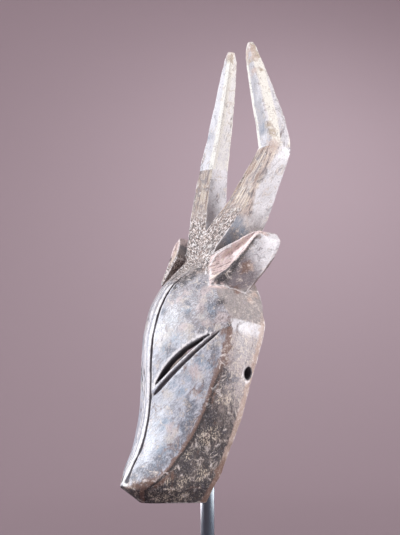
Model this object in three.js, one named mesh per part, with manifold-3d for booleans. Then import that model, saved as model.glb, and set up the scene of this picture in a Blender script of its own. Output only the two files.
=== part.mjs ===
// A carved wooden antelope mask of the Kwele kind, on a plain steel display stand.
// Millimetres, +Z up. The mask looks along -Y and +X is its left side. The origin is on the
// underside of the stand's foot, under the axis of the rod.

import * as THREE from "three";
import { mergeVertices } from "three/addons/utils/BufferGeometryUtils.js";
import Module from "manifold-3d";

const wasm = await Module();
wasm.setup();

// The stand
const ROD_DIAMETER = 13;
const FOOT_WIDTH = 150;
const FOOT_THICKNESS = 10;
const FOOT_FORWARD = 22; // the foot's middle lies this far in front of the rod
const FOOT_EDGE = 1.5; // bevel round the foot's top
const ROD_SEAT = 6; // depth of the hole in the foot that the rod stands in
const CROWN_SEAT_Z = 305; // top of the socket under the crown that holds the rod's end
const SOCKET_DEPTH = 30;
const FIT_GAP = 0.3;

// The shell
const WALL = 12.5;
const RIM_WIDTH = 11;
const RIM_BEVEL = { back: 6.5, out: 1.6 }; // worn facet along the outside of the rim
const BAND_FALL = 0.8; // how far the band's edges lie behind the ridge of the nose
// The flat under the chin is the lowest section drawn in. It falls a little towards the back.
const CHIN = { z: 98.5, fall: 0.027, backY: -14.5, narrowing: 0.6, shortening: 0.76, knee: 0.72 };
// The hollow at the back, between two of the levels below, with its ends drawn in
const HOLLOW = { fromLevel: 1.2, toLevel: 11, sections: 16, ends: 0.72, channel: 6, reach: 14 };

// Cuts in the shell. A cutter starts this far above the surface.
const CUTTER_LIFT = 0.8;
const GROOVE = { width: 2.4, depth: 2.4, fromZ: 119, toZ: 314 }; // on both sides of the nose band
const LID_LINE = { width: 3.2, depth: 3.2 }; // incised line under the eye
const TIE_HOLE = { width: 7.5, height: 11.5, length: 40, x: 66, y: -0.2, z: 214.5 }; // one in each side

// The eye lies in the plane of the face, which is turned this far from the front. Its outline
// and the line under it are given in that plane, across and up from a point on the cheek.
const FACE_TURN = THREE.MathUtils.degToRad(35);
const CHEEK = [30, -50, 230];
const EYE_CUT = 44; // long enough to go through the wall behind the eye
const EYE = { inner: [-25, -27], brow: [-9.8, 4], outer: [27.5, 18.5], lid: [1.5, -2] };
const LID_PATH = { inner: [-27, -36.5], bend: [3.5, -5], outer: [38, 23] };

const mm = (x, y, z) => new THREE.Vector3(x, y, z);
const mix = (a, b, t) => a.clone().lerp(b, t);

// The outside of the shell, from the chin to the crown. Each level has the ridge of the nose on
// the middle plane, the edge between the face and the side, and the rim at the back. bulge is
// how far the face and the side swell between those, and round is how far the edge is softened.
const level = (ridge, edge, rim, band, bulge, round) => ({ ridge, edge, rim, band, bulge, round });
const LEVELS = [
  level([-93, 114.5], [15, -82, 110], [33, -15.6, 112], 3, [1.5, 5], 0.05),
  level([-90.5, 121], [24.5, -77, 117], [38, -12, 122], 3.2, [1.5, 3], 0.05),
  level([-86, 131], [31, -66.7, 127.5], [42.5, -9.5, 134], 3.5, [3, 2], 0.05),
  level([-79.5, 143], [36, -54.5, 144], [47, -7, 147], 4.2, [4, 2], 0.05),
  level([-73.5, 159], [41.5, -46, 159], [52.5, -4.5, 160], 4.4, [4.5, 2], 0.05),
  level([-69, 180], [48.5, -37.5, 182], [58.5, -0.5, 180], 4.4, [5, 2], 0.1),
  level([-67.5, 204], [55.5, -32.5, 205], [63, 4.2, 205], 4.2, [5, 2], 0.15),
  level([-67.5, 226], [61.5, -26.5, 226], [65, 10.3, 226], 4.4, [5, 2], 0.25),
  level([-66, 246], [65, -21.3, 246], [66, 16.5, 246], 4.8, [5.5, 2], 0.35),
  level([-62.5, 262], [64.5, -18.8, 264], [64.5, 20, 262], 5.2, [5.5, 2], 0.5),
  level([-56.5, 278], [56.5, -23.5, 279], [59, 21.8, 276], 5.4, [4, 2.5], 0.6),
  level([-44, 297], [42, -25, 297], [48, 23, 294], 5.4, [2, 3], 0.6),
  level([-21.5, 313], [31, -17, 313], [37, 24, 310], 5.4, [1, 3], 0.6),
  level([-10, 325], [25, -7, 326], [30, 27, 325], 5.4, [0.5, 2], 0.6),
  level([0, 342], [18, 4, 342], [20, 28, 342], 5.4, [0, 1], 0.6),
];
const SECTIONS = 42;
const FACE_STEPS = 6;
const SIDE_STEPS = 4;

// Horns: the middle of each station and the side of its nearly square section. Each horn bends
// sharply where it is furthest out. The two differ, because they are cut by hand.
const HORN_TURN = THREE.MathUtils.degToRad(9); // the front faces turn towards each other
const HORN_CORNER = { flat: 0.2, arris: 0.475 }; // in sides: half of each flat, and the worn corner
const LEFT_HORN = [
  { at: [6, -1, 306], side: 34 },
  { at: [13, 8.5, 331], side: 37 },
  { at: [22, 17.5, 350], side: 36 },
  { at: [31, 25.5, 369], side: 32.5 },
  { at: [52, 42.5, 427], side: 25 },
  { at: [44, 42.5, 454], side: 22 },
  { at: [33.5, 41.5, 484], side: 18 },
  { at: [23, 40.5, 513], side: 13 },
  { at: [17.5, 40, 531], side: 9 },
  { at: [16, 39.8, 538], side: 4.5 },
];
const RIGHT_HORN = [
  { at: [-9, 2, 306], side: 32 },
  { at: [-17.5, 11, 331], side: 30 },
  { at: [-32, 23, 369], side: 26.5 },
  { at: [-52, 43, 420], side: 22 },
  { at: [-42, 43, 450], side: 18.5 },
  { at: [-32, 42, 480], side: 15.5 },
  { at: [-23.5, 41.3, 508], side: 12.5 },
  { at: [-18, 40.6, 527], side: 9.5 },
  { at: [-16, 40.2, 536], side: 5 },
];

// Ears: thick leaves with four long edges. Each edge is given on the left ear, from the head
// over its middle to the tip. The front pair are the lips of the scooped opening.
const EAR_EDGES = {
  frontLow: [[42, -26, 296], [56, -9.5, 314], [68, 7.5, 342]],
  backLow: [[57, 13, 288], [67.5, 27.5, 312.5], [71, 36.5, 335.5]],
  backHigh: [[34, 22, 318], [53, 31, 334], [67, 34, 344]],
  frontHigh: [[27, -17, 324], [46, -2, 336], [65, 10.5, 346]],
};
const RIGHT_EAR_LIFT = 7; // the right ear sits higher than the left one
const EAR_BELLY = 3; // how far the underside of an ear swells

// A solid from a closed geometry, turned right side out if its triangles face inwards
function toSolid(geometry) {
  const bare = geometry.clone();
  bare.deleteAttribute("normal");
  bare.deleteAttribute("uv");
  const merged = mergeVertices(bare, 1e-4);
  const triVerts = new Uint32Array(merged.index.array);
  const corner = (i) => new THREE.Vector3().fromBufferAttribute(merged.attributes.position, triVerts[i]);
  let volume = 0;
  for (let i = 0; i < triVerts.length; i += 3) {
    volume += corner(i).dot(corner(i + 1).cross(corner(i + 2)));
  }
  if (volume < 0) {
    triVerts.reverse();
  }
  const vertProperties = new Float32Array(merged.attributes.position.array);
  return new wasm.Manifold(new wasm.Mesh({ numProp: 3, vertProperties, triVerts }));
}

const toGeometry = (solid) => {
  const { vertProperties, triVerts, numProp } = solid.getMesh();
  const geometry = new THREE.BufferGeometry();
  const positions = new Float32Array((vertProperties.length / numProp) * 3);
  for (let i = 0; i < positions.length / 3; i += 1) {
    positions.set(vertProperties.subarray(i * numProp, i * numProp + 3), i * 3);
  }
  geometry.setAttribute("position", new THREE.BufferAttribute(positions, 3));
  geometry.setIndex(new THREE.BufferAttribute(new Uint32Array(triVerts), 1));
  geometry.computeVertexNormals();
  return geometry;
};

// A closed body through a row of outlines that all have the same number of points
function loft(outlines) {
  const count = outlines[0].length;
  const positions = [];
  const faces = [];
  outlines.forEach((outline) => outline.forEach((p) => positions.push(p.x, p.y, p.z)));
  for (let row = 0; row + 1 < outlines.length; row += 1) {
    for (let i = 0; i < count; i += 1) {
      const a = row * count + i;
      const b = row * count + ((i + 1) % count);
      faces.push(a, b, b + count, a, b + count, a + count);
    }
  }
  [0, outlines.length - 1].forEach((row) => {
    const middle = outlines[row].reduce((sum, p) => sum.add(p), mm(0, 0, 0)).divideScalar(count);
    const hub = positions.length / 3;
    positions.push(middle.x, middle.y, middle.z);
    for (let i = 0; i < count; i += 1) {
      const a = row * count + i;
      const b = row * count + ((i + 1) % count);
      faces.push(...(row === 0 ? [hub, b, a] : [hub, a, b]));
    }
  });
  const geometry = new THREE.BufferGeometry();
  geometry.setAttribute("position", new THREE.Float32BufferAttribute(positions, 3));
  geometry.setIndex(faces);
  return toSolid(geometry);
}

const smoothCurve = (points) => new THREE.CatmullRomCurve3(points, false, "catmullrom", 0.5);
const guides = {
  ridge: smoothCurve(LEVELS.map(({ ridge }) => mm(0, ...ridge))),
  edge: smoothCurve(LEVELS.map(({ edge }) => mm(...edge))),
  rim: smoothCurve(LEVELS.map(({ rim }) => mm(...rim))),
};
const levelValue = (u, read) => {
  const place = u * (LEVELS.length - 1);
  const below = Math.min(Math.floor(place), LEVELS.length - 2);
  return THREE.MathUtils.lerp(read(LEVELS[below]), read(LEVELS[below + 1]), place - below);
};

// The place along the levels at which the ridge reaches a height
function levelOfHeight(z) {
  let low = 0;
  let high = 1;
  for (let i = 0; i < 24; i += 1) {
    const middle = (low + high) / 2;
    if (guides.ridge.getPoint(middle).z < z) {
      low = middle;
    } else {
      high = middle;
    }
  }
  return low;
}

// Outward direction of a line across the left half of a level section
const outward = (from, to) => mm(to.y - from.y, from.x - to.x, 0).normalize();
const swell = (from, to, height, t) => {
  const rise = height * 4 * t * (1 - t);
  return mix(from, to, t).addScaledVector(outward(from, to), rise);
};

// The left half of the shell's section, from the ridge round to the rim
function halfSection(u) {
  const ridge = guides.ridge.getPoint(u);
  const edge = guides.edge.getPoint(u);
  const rim = guides.rim.getPoint(u);
  const bandEdge = ridge.clone().add(mm(levelValue(u, ({ band }) => band), BAND_FALL, 0));
  const faceBulge = levelValue(u, ({ bulge }) => bulge[0]);
  const sideBulge = levelValue(u, ({ bulge }) => bulge[1]);
  const softening = 0.6 * levelValue(u, ({ round }) => round);
  const points = [ridge, bandEdge];
  for (let i = 1; i < FACE_STEPS; i += 1) {
    points.push(swell(bandEdge, edge, faceBulge, i / FACE_STEPS));
  }
  const before = points[points.length - 1];
  const after = swell(edge, rim, sideBulge, 1 / SIDE_STEPS);
  points.push(mix(edge, mix(before, after, 0.5), softening));
  const bevel = rim.clone().add(mm(RIM_BEVEL.out, -RIM_BEVEL.back, 0));
  for (let i = 1; i < SIDE_STEPS; i += 1) {
    points.push(swell(edge, bevel, sideBulge, i / SIDE_STEPS));
  }
  points.push(bevel, rim);
  return points;
}

const wholeSection = (half) => {
  const mirrored = half.slice(1).map((p) => mm(-p.x, p.y, p.z));
  return [...mirrored.reverse(), ...half];
};

function outerShell() {
  const halves = [];
  for (let i = 0; i <= SECTIONS; i += 1) {
    halves.push(halfSection(i / SECTIONS));
  }
  const lowest = halves[0];
  const backOfLowest = lowest[lowest.length - 1].y;
  const flat = lowest.map((p) => {
    const inFront = (backOfLowest - p.y) * CHIN.shortening;
    return mm(p.x * CHIN.narrowing, CHIN.backY - inFront, CHIN.z + (inFront - 50) * CHIN.fall);
  });
  const knee = lowest.map((p, i) => mix(p, flat[i], CHIN.knee));
  return loft([flat, knee, ...halves].map(wholeSection));
}

// The body of air behind the face, out through the back
function hollow() {
  const halves = [];
  for (let i = 0; i <= HOLLOW.sections; i += 1) {
    const place = THREE.MathUtils.lerp(HOLLOW.fromLevel, HOLLOW.toLevel, i / HOLLOW.sections);
    const u = place / (LEVELS.length - 1);
    const ridge = guides.ridge.getPoint(u);
    const edge = guides.edge.getPoint(u);
    const rim = guides.rim.getPoint(u);
    const front = ridge.clone().add(mm(0, WALL * 1.25, 0));
    const shoulder = front.clone().add(mm(HOLLOW.channel, 0, 0));
    const corner = edge.clone().add(mm(-WALL * 0.95, WALL * 0.55, 0));
    const mouth = rim.clone().add(mm(-RIM_WIDTH, 0, 0));
    const beyond = mouth.clone().add(mm(0, HOLLOW.reach, 0));
    const cheek = mix(shoulder, corner, 0.5);
    const half = [front, shoulder, cheek, corner, mix(corner, mouth, 0.5), mouth, beyond];
    if (i === 0 || i === HOLLOW.sections) {
      half.forEach((p) => p.set(p.x * HOLLOW.ends, rim.y + (p.y - rim.y) * HOLLOW.ends, p.z));
    }
    halves.push(half);
  }
  return loft(halves.map(wholeSection));
}

// A square section with softened corners, turned about the axis of a horn
function hornOutline(middle, direction, side, turn) {
  const right = mm(0, 1, 0).cross(direction).normalize();
  const back = direction.clone().cross(right).normalize();
  const { flat, arris } = HORN_CORNER;
  const face = [[-flat, -0.5], [flat, -0.5], [arris, -arris]];
  const outline = [];
  for (let quarter = 0; quarter < 4; quarter += 1) {
    const angle = turn + (quarter * Math.PI) / 2;
    face.forEach(([a, b]) => {
      const x = side * (a * Math.cos(angle) - b * Math.sin(angle));
      const y = side * (a * Math.sin(angle) + b * Math.cos(angle));
      outline.push(middle.clone().addScaledVector(right, x).addScaledVector(back, y));
    });
  }
  return outline;
}

function horn(stations) {
  const turn = stations[0].at[0] > 0 ? -HORN_TURN : HORN_TURN;
  const middles = stations.map(({ at }) => mm(...at));
  const outlines = middles.map((middle, i) => {
    const into = i > 0 ? middle.clone().sub(middles[i - 1]).normalize() : null;
    const out = i + 1 < middles.length ? middles[i + 1].clone().sub(middle).normalize() : null;
    const direction = (into ?? out).clone().add(out ?? into).normalize();
    return hornOutline(middle, direction, stations[i].side, turn);
  });
  return loft(outlines);
}

// The point at t on one edge of an ear: 0 at the head, 1 at the tip
function earEdge(side, name, t) {
  const [base, middle, tip] = EAR_EDGES[name].map((p) => mm(p[0] * side, p[1], p[2]));
  if (side < 0) {
    [base, middle, tip].forEach((p) => p.add(mm(0, 0, RIGHT_EAR_LIFT)));
  }
  if (t < 0) {
    return base.addScaledVector(middle.sub(base), 2 * t);
  }
  return smoothCurve([base, middle, tip]).getPoint(t);
}

function ear(side) {
  const names = ["frontLow", "backLow", "backHigh", "frontHigh"];
  const down = mm(0.5 * side, 0, -0.5);
  const outlineAt = ([t, scale]) => {
    const corners = names.map((name) => earEdge(side, name, t));
    const centre = corners.reduce((sum, p) => sum.add(p), mm(0, 0, 0)).divideScalar(corners.length);
    corners.forEach((corner) => corner.lerp(centre, 1 - scale));
    const [frontLow, backLow, backHigh, frontHigh] = corners;
    return [
      frontLow,
      mix(frontLow, backLow, 0.4).addScaledVector(down, EAR_BELLY),
      mix(frontLow, backLow, 0.8).addScaledVector(down, EAR_BELLY * 0.7),
      mix(backLow, backHigh, 0.2),
      mix(backHigh, backLow, 0.15),
      mix(backHigh, frontHigh, 0.15),
      frontHigh,
    ];
  };
  // Each place along the ear with its size: a little smaller in the head, and worn at the tip
  const places = [[-0.12, 0.9], [0, 1], [0.2, 1], [0.4, 1], [0.6, 1], [0.8, 1], [0.94, 0.97], [1, 0.8]];
  return loft(places.map(outlineAt));
}

// What is scooped out between the front lips of an ear. It starts at nothing on the head, and
// runs out over the tip.
function earScoop(side) {
  const above = 14; // the cutter reaches this far out of the opening
  const stations = [
    { t: 0.02, share: 0.5, depth: 0 },
    { t: 0.15, share: 0.8, depth: 0.16 },
    { t: 0.35, share: 0.84, depth: 0.3 },
    { t: 0.65, share: 0.84, depth: 0.34 },
    { t: 0.9, share: 0.8, depth: 0.34 },
    { t: 1.02, share: 0.7, depth: 0.3 },
  ];
  const inward = mm(-0.25 * side, 1, -0.1).normalize();
  return loft(stations.map(({ t, share, depth }) => {
    const low = earEdge(side, "frontLow", t);
    const high = earEdge(side, "frontHigh", t);
    const deep = high.distanceTo(low) * depth;
    const lipLow = mix(low, high, (1 - share) / 2);
    const lipHigh = mix(low, high, (1 + share) / 2);
    return [
      lipLow.clone().addScaledVector(inward, -above),
      lipLow,
      mix(lipLow, lipHigh, 0.15).addScaledVector(inward, deep * 0.7),
      mix(lipLow, lipHigh, 0.45).addScaledVector(inward, deep),
      mix(lipLow, lipHigh, 0.75).addScaledVector(inward, deep * 0.8),
      lipHigh,
      lipHigh.clone().addScaledVector(inward, -above),
    ];
  }));
}

// A V-shaped cut along a path of places on the surface, each with a point and a normal
function vCut(places, { width, depth }) {
  const last = places.length - 1;
  const outlines = places.map(({ point, normal }, i) => {
    const along = places[Math.min(i + 1, last)].point.clone().sub(places[Math.max(i - 1, 0)].point);
    const across = along.cross(normal).normalize();
    const size = i === 0 || i === last ? 0.3 : 1;
    const half = (size * width * (depth + CUTTER_LIFT)) / (2 * depth);
    const top = point.clone().addScaledVector(normal, CUTTER_LIFT);
    return [
      top.clone().addScaledVector(across, half),
      top.clone().addScaledVector(across, -half),
      point.clone().addScaledVector(normal, -depth * size),
    ];
  });
  return loft(outlines);
}

// The place where a ray first meets a body from outside
function placeOn(mesh, from, direction) {
  const [hit] = new THREE.Raycaster(from, direction).intersectObject(mesh);
  return { point: hit.point, normal: hit.face.normal.clone() };
}

const facePlane = (side) => ({
  across: mm(Math.cos(FACE_TURN) * side, Math.sin(FACE_TURN), 0),
  out: mm(Math.sin(FACE_TURN) * side, -Math.cos(FACE_TURN), 0),
  cheek: mm(CHEEK[0] * side, CHEEK[1], CHEEK[2]),
});

function eyeSlit(side) {
  const { inner, brow, outer, lid } = EYE;
  const shape = new THREE.Shape();
  shape.moveTo(...inner);
  shape.quadraticCurveTo(...lid, ...outer);
  shape.quadraticCurveTo(...brow, ...inner);
  const options = { depth: EYE_CUT, bevelEnabled: false, curveSegments: 10 };
  const geometry = new THREE.ExtrudeGeometry(shape, options);
  geometry.translate(0, 0, -0.6 * EYE_CUT);
  const { across, out, cheek } = facePlane(side);
  geometry.applyMatrix4(new THREE.Matrix4().makeBasis(across, mm(0, 0, 1), out).setPosition(cheek));
  return toSolid(geometry);
}

function lidLine(mesh, side) {
  const { inner, bend, outer } = LID_PATH;
  const path = new THREE.QuadraticBezierCurve3(mm(...inner, 0), mm(...bend, 0), mm(...outer, 0));
  const { across, out, cheek } = facePlane(side);
  const places = path.getPoints(14).map(({ x, y }) => {
    const from = cheek.clone().addScaledVector(across, x).add(mm(0, 0, y)).addScaledVector(out, 80);
    return placeOn(mesh, from, out.clone().negate());
  });
  return vCut(places, LID_LINE);
}

function bandGroove(mesh, side) {
  const steps = 30;
  const places = [];
  for (let i = 0; i <= steps; i += 1) {
    const z = THREE.MathUtils.lerp(GROOVE.fromZ, GROOVE.toZ, i / steps);
    const u = levelOfHeight(z);
    const x = (levelValue(u, ({ band }) => band) + GROOVE.width / 2) * side;
    places.push(placeOn(mesh, mm(x, -200, z), mm(0, 1, 0)));
  }
  return vCut(places, GROOVE);
}

function tieHole(side) {
  const { length, width, height, x, y, z } = TIE_HOLE;
  const geometry = new THREE.CylinderGeometry(0.5, 0.5, length, 20);
  geometry.rotateZ(Math.PI / 2);
  geometry.scale(1, width, height);
  geometry.translate(x * side, y, z);
  return toSolid(geometry);
}

const wood = new THREE.MeshStandardMaterial({ color: 0x8d8488, roughness: 0.55, metalness: 0 });
const rodSteel = new THREE.MeshStandardMaterial({ color: 0x5c6670, roughness: 0.35, metalness: 0.9 });
const footSteel = new THREE.MeshStandardMaterial({ color: 0x2b2c2e, roughness: 0.5, metalness: 0.6 });

function cylinder(diameter, from, to) {
  const geometry = new THREE.CylinderGeometry(diameter / 2, diameter / 2, to - from, 32);
  geometry.rotateX(Math.PI / 2);
  geometry.translate(0, 0, (from + to) / 2);
  return geometry;
}

function mask() {
  const shell = outerShell();
  const surface = new THREE.Mesh(toGeometry(shell));
  let solid = shell.add(horn(LEFT_HORN)).add(horn(RIGHT_HORN));
  [1, -1].forEach((side) => {
    solid = solid.add(ear(side)).subtract(earScoop(side));
  });
  solid = solid.subtract(hollow());
  [1, -1].forEach((side) => {
    solid = solid.subtract(eyeSlit(side)).subtract(tieHole(side));
    solid = solid.subtract(lidLine(surface, side)).subtract(bandGroove(surface, side));
  });
  const socket = cylinder(ROD_DIAMETER + 2 * FIT_GAP, CROWN_SEAT_Z - SOCKET_DEPTH, CROWN_SEAT_Z);
  return solid.subtract(toSolid(socket));
}

function foot() {
  const signs = [[-1, -1], [1, -1], [1, 1], [-1, 1]];
  const square = (half, z) => signs.map(([x, y]) => mm(x * half, y * half, z));
  const half = FOOT_WIDTH / 2;
  const plate = loft([
    square(half, 0),
    square(half, FOOT_THICKNESS - FOOT_EDGE),
    square(half - FOOT_EDGE, FOOT_THICKNESS),
  ]);
  const hole = cylinder(ROD_DIAMETER + 2 * FIT_GAP, FOOT_THICKNESS - ROD_SEAT, 2 * FOOT_THICKNESS);
  return plate.translate([0, -FOOT_FORWARD, 0]).subtract(toSolid(hole));
}

const model = new THREE.Group();
const addMesh = (name, geometry, material) => {
  const mesh = new THREE.Mesh(geometry, material);
  mesh.name = name;
  model.add(mesh);
};
addMesh("mask", toGeometry(mask()), wood);
const rodBottom = FOOT_THICKNESS - ROD_SEAT + FIT_GAP;
addMesh("stand_rod", cylinder(ROD_DIAMETER, rodBottom, CROWN_SEAT_Z - FIT_GAP), rodSteel);
addMesh("stand_foot", toGeometry(foot()), footSteel);

export default model;
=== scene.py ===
# %% [markdown]
# # A carved antelope mask on its stand
#
# The object is one block of wood, cut to an antelope's face with two ears and two bent horns, and
# hollowed out at the back for a wearer. A steel bar on a flat foot holds it up for show. The frame
# fixes every size and place. What is left to make here is the work of the hand and of the years:
# knife marks, worn edges, gouge cuts in the hollow, and a skin that oil and smoke have darkened and
# hands have rubbed until it shines.

# %% Load the frame
import math

import bmesh
import bpy
import numpy as np
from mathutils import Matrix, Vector, noise
from mathutils.kdtree import KDTree


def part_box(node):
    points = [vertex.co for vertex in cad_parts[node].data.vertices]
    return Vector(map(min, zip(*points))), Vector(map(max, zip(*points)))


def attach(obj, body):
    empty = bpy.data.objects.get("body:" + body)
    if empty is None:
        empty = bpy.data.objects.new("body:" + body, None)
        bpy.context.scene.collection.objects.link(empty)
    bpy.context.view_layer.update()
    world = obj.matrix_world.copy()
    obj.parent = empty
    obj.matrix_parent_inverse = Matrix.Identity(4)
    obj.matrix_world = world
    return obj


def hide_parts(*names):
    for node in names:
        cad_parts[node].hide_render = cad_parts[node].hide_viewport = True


MM = 0.001
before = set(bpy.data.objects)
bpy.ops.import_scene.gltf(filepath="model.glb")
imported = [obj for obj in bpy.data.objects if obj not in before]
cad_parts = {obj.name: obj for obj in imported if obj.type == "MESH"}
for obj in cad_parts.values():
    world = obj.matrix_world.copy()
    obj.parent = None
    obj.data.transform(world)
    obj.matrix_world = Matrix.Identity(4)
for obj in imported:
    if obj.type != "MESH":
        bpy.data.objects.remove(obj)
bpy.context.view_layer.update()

# %% [markdown]
# ## Where the camera stands
#
# The picture is taken from the front left of the mask, a little lower than its chin is high, so the
# camera looks up by six degrees. A camera is easiest to place backwards: choose the point that lands
# in the middle of the picture, then step back from it along the line of sight.

# %% Camera
AIM = Vector((-3.9, -5.8, 315.9)) * MM
VIEW_TURN = math.radians(56)
VIEW_RISE = math.radians(-6)
VIEW_DISTANCE = 1.15
LENS = 81.3


def direction(turn, rise):
    """The way from the object to a camera or lamp that stands at this turn and rise."""
    flat = math.cos(rise)
    return Vector((math.sin(turn) * flat, -math.cos(turn) * flat, math.sin(rise)))


def look_from(thing, place, target):
    thing.location = place
    thing.rotation_euler = (place - target).to_track_quat("Z", "Y").to_euler()


camera_data = bpy.data.cameras.new("camera")
camera_data.lens = LENS
camera = bpy.data.objects.new("camera", camera_data)
bpy.context.scene.collection.objects.link(camera)
look_from(camera, AIM + direction(VIEW_TURN, VIEW_RISE) * VIEW_DISTANCE, AIM)
bpy.context.scene.camera = camera
print("camera at", [round(c, 3) for c in camera.location])

# %% [markdown]
# ## A plain place to stand
#
# The floor and the wall behind are one bowl, turned like a dish. With no corner and no edge in it,
# the pale ground runs up behind the mask without a line, from every side that a camera may stand.

# %% Floor and backdrop
FLOOR_RADIUS = 1.3
BOWL_RADIUS = 3.2
BOWL_HEIGHT = 2.4
BOWL_STEPS = 96
WALL_STEPS = 12


def material(name):
    made = bpy.data.materials.new(name)
    made.use_nodes = True
    return made


def add_object(name, mesh):
    made = bpy.data.objects.new(name, mesh)
    bpy.context.scene.collection.objects.link(made)
    return made


def bowl():
    bm = bmesh.new()
    profile = [(0.0, 0.0)]
    for i in range(WALL_STEPS + 1):
        bend = math.radians(90 * i / WALL_STEPS)
        reach = (BOWL_RADIUS - FLOOR_RADIUS) * math.sin(bend)
        profile.append((FLOOR_RADIUS + reach, BOWL_HEIGHT * (1 - math.cos(bend))))
    points = [bm.verts.new((r, 0.0, z)) for r, z in profile]
    edges = [bm.edges.new(pair) for pair in zip(points, points[1:])]
    bmesh.ops.spin(
        bm,
        geom=points + edges,
        cent=(0, 0, 0),
        axis=(0, 0, 1),
        angle=2 * math.pi,
        steps=BOWL_STEPS,
        use_merge=True,
    )
    bmesh.ops.remove_doubles(bm, verts=bm.verts, dist=1e-5)
    bmesh.ops.recalc_face_normals(bm, faces=bm.faces)
    mesh = bpy.data.meshes.new("ground")
    bm.to_mesh(mesh)
    bm.free()
    mesh.shade_smooth()
    return add_object("ground", mesh)


GROUND_COLOUR = (0.53, 0.435, 0.48, 1)
ground = bowl()
ground_paint = material("ground_paint")
surface = ground_paint.node_tree.nodes["Principled BSDF"]
surface.inputs["Base Color"].default_value = GROUND_COLOUR
surface.inputs["Roughness"].default_value = 0.9
surface.inputs["Specular IOR Level"].default_value = 0.1
ground.data.materials.append(ground_paint)
print("ground:", len(ground.data.polygons), "faces")

# %% [markdown]
# ## Light
#
# The dark, rubbed wood shows itself by its sheen, so the lamps are placed for what they reflect. A
# wide cool window stands in front and above, where the long face mirrors it along the nose. A second
# one stands at the right and a little behind, where the upright side wall and the horns mirror it.
# Neither lights the ground, which has a soft wash of its own down the wall, and the room's own light
# fills the rest. Light linking says which lamp lights what. The steel rod gets two lamps in the same
# way, once it is made.

# %% Lamps
SUBJECT = Vector((0, -10, 280)) * MM


def window(name, bearing, distance, size, radiance, colour, target=SUBJECT):
    """A flat upright lamp that is as bright as radiance, whatever its size."""
    data = bpy.data.lights.new(name, "AREA")
    data.shape = "RECTANGLE"
    data.size, data.size_y = size
    data.energy = radiance * math.pi * size[0] * size[1]
    data.color = colour
    lamp = bpy.data.objects.new(name, data)
    bpy.context.scene.collection.objects.link(lamp)
    turn, rise = (math.radians(angle) for angle in bearing)
    look_from(lamp, target + direction(turn, rise) * distance, target)
    lamp.visible_camera = False
    return lamp


def linked(lamp, thing, state):
    """Says whether a lamp lights everything but one thing, EXCLUDE, or only that thing, INCLUDE."""
    lit = bpy.data.collections.new(lamp.name + "_lights")
    lit.objects.link(thing)
    lit.collection_objects[0].light_linking.link_state = state
    lamp.light_linking.receiver_collection = lit


front_window = window(
    "front_window",
    bearing=(-16, 22),
    distance=1.7,
    size=(0.75, 0.75),
    radiance=25,
    colour=(0.88, 0.935, 0.99),
)
right_window = window(
    "right_window",
    bearing=(114, 10),
    distance=1.3,
    size=(0.55, 0.85),
    radiance=14.5,
    colour=(0.97, 0.98, 1.0),
)
for lamp in (front_window, right_window):
    linked(lamp, ground, "EXCLUDE")

WASH_FROM = Vector((-1.6, 1.42, 1.49))
WASH_TO = Vector((-2.4, 1.32, -0.48))
WASH_SIZE = 0.6
WASH_POWER = 4.3
wash = bpy.data.lights.new("wall_wash", "AREA")
wash.size = WASH_SIZE
wash.energy = WASH_POWER
wash_lamp = bpy.data.objects.new("wall_wash", wash)
bpy.context.scene.collection.objects.link(wash_lamp)
look_from(wash_lamp, WASH_FROM, WASH_TO)
wash_lamp.visible_camera = False
linked(wash_lamp, ground, "INCLUDE")

ROOM_COLOUR = (1.0, 0.93, 0.95, 1)
ROOM_LIGHT = 0.68
world = bpy.data.worlds.new("world")
world.use_nodes = True
room = world.node_tree.nodes["Background"]
room.inputs["Color"].default_value = ROOM_COLOUR
room.inputs["Strength"].default_value = ROOM_LIGHT
bpy.context.scene.world = world
bpy.context.scene.view_settings.view_transform = "Standard"

# %% [markdown]
# ## From facets to wood
#
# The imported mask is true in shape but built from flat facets. Voxel remeshing lays an even net of
# small faces over it, which can then be moved like a sculptor's clay. Smoothing everything would
# melt the grooves and arrises, so each point first learns how far it is from a crisp edge of the
# carving, and only points well away from one are smoothed hard.

# %% A fine net over the carving
VOXEL = 0.8 * MM
CRISP_ANGLE = math.radians(27)
EDGE_STEP = 1.0 * MM


def merged_copy(node):
    bm = bmesh.new()
    bm.from_mesh(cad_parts[node].data)
    bmesh.ops.remove_doubles(bm, verts=bm.verts, dist=1e-6)
    return bm


def edge_tree(bm, wanted, more=()):
    """A search tree of points every millimetre along the edges that are wanted."""
    points = list(more)
    for edge in bm.edges:
        a, b = (v.co for v in edge.verts)
        if len(edge.link_faces) == 2 and wanted(edge.calc_face_angle_signed(), (a + b) / 2):
            count = max(1, int((b - a).length / EDGE_STEP))
            points += [a.lerp(b, i / count) for i in range(count + 1)]
    tree = KDTree(len(points))
    for i, point in enumerate(points):
        tree.insert(point, i)
    tree.balance()
    return tree


def distance_to(tree, points):
    return np.array([tree.find(p)[2] for p in points])


def modified(holder, name, **settings):
    """The mesh that one modifier makes of holder."""
    step = holder.modifiers.new(name, settings.pop("kind"))
    for key, value in settings.items():
        setattr(step, key, value)
    depsgraph = bpy.context.evaluated_depsgraph_get()
    mesh = bpy.data.meshes.new_from_object(holder.evaluated_get(depsgraph))
    holder.modifiers.clear()
    return mesh


def positions(mesh):
    flat = np.empty(len(mesh.vertices) * 3)
    mesh.vertices.foreach_get("co", flat)
    return flat.reshape(-1, 3)


def normals(mesh):
    flat = np.empty(len(mesh.vertices) * 3)
    mesh.vertex_normals.foreach_get("vector", flat)
    return flat.reshape(-1, 3)


def edge_pairs(mesh):
    flat = np.empty(len(mesh.edges) * 2, dtype=np.int64)
    mesh.edges.foreach_get("vertices", flat)
    return flat.reshape(-1, 2)


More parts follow.
